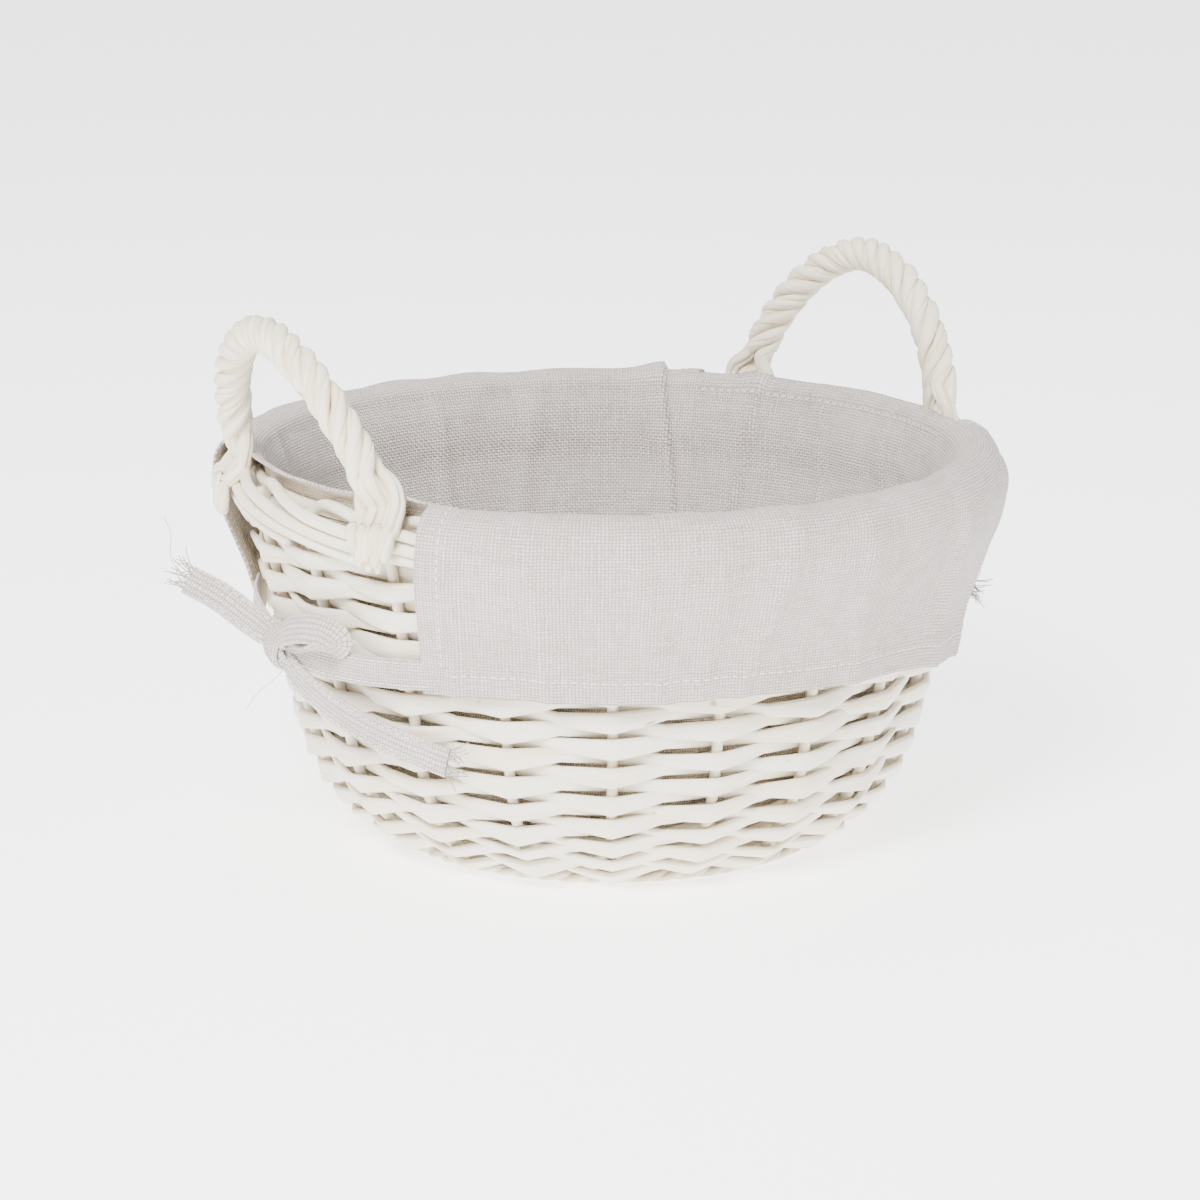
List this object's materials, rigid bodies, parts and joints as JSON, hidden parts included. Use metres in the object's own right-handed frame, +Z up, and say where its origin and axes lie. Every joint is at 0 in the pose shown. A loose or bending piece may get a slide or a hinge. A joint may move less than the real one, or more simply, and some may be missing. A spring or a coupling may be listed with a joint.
{
  "type": "bread basket",
  "caption": "Round white willow bread basket with rope handles and a sewn cloth liner turned over its rim and tied under each handle.",
  "frame": {"origin": "on the basket's vertical axis at the flat underside of the foot ring, the resting plane", "axes": "+Z up, +X towards the far handle, -Y towards the liner's front flap"},
  "size_m": [0.289, 0.2688, 0.1899],
  "materials": {
    "willow": "white-washed split willow, satin",
    "linen": "natural linen, matt"
  },
  "bodies": {
    "root": {"base_sticks_lower": "willow", "base_sticks_upper": "willow", "base_weave": "willow", "foot_ring": "willow", "stakes": "willow", "weave_row_1": "willow", "weave_row_2": "willow", "weave_row_3": "willow", "weave_row_4": "willow", "weave_row_5": "willow", "weave_row_6": "willow", "weave_row_7": "willow", "weave_row_8": "willow", "weave_row_9": "willow", "weave_row_10": "willow", "weave_row_11": "willow", "weave_row_12": "willow", "weave_row_13": "willow", "weave_row_14": "willow", "weave_row_15": "willow", "weave_row_16": "willow", "weave_row_17": "willow", "weave_row_18": "willow", "weave_row_19": "willow", "weave_row_20": "willow", "weave_row_21": "willow", "weave_row_22": "willow", "weave_row_23": "willow", "weave_row_24": "willow", "border_top_rod": "willow", "border_outer_rod_1": "willow", "border_outer_rod_2": "willow", "border_outer_rod_3": "willow", "border_inner_rod_1": "willow", "border_inner_rod_2": "willow", "near_handle_strand_1": "willow", "near_handle_strand_2": "willow", "near_handle_strand_3": "willow", "near_handle_strand_4": "willow", "far_handle_strand_1": "willow", "far_handle_strand_2": "willow", "far_handle_strand_3": "willow", "far_handle_strand_4": "willow", "liner_bottom": "linen", "liner_wall": "linen", "liner_front_flap": "linen", "liner_back_flap": "linen", "near_tie_front": "linen", "near_tie_back": "linen", "near_tie_loop": "linen", "near_tie_tails": "linen", "near_tie_knot": "linen", "far_tie_front": "linen", "far_tie_back": "linen", "far_tie_loop": "linen", "far_tie_tails": "linen", "far_tie_knot": "linen"}
  },
  "joints": []
}
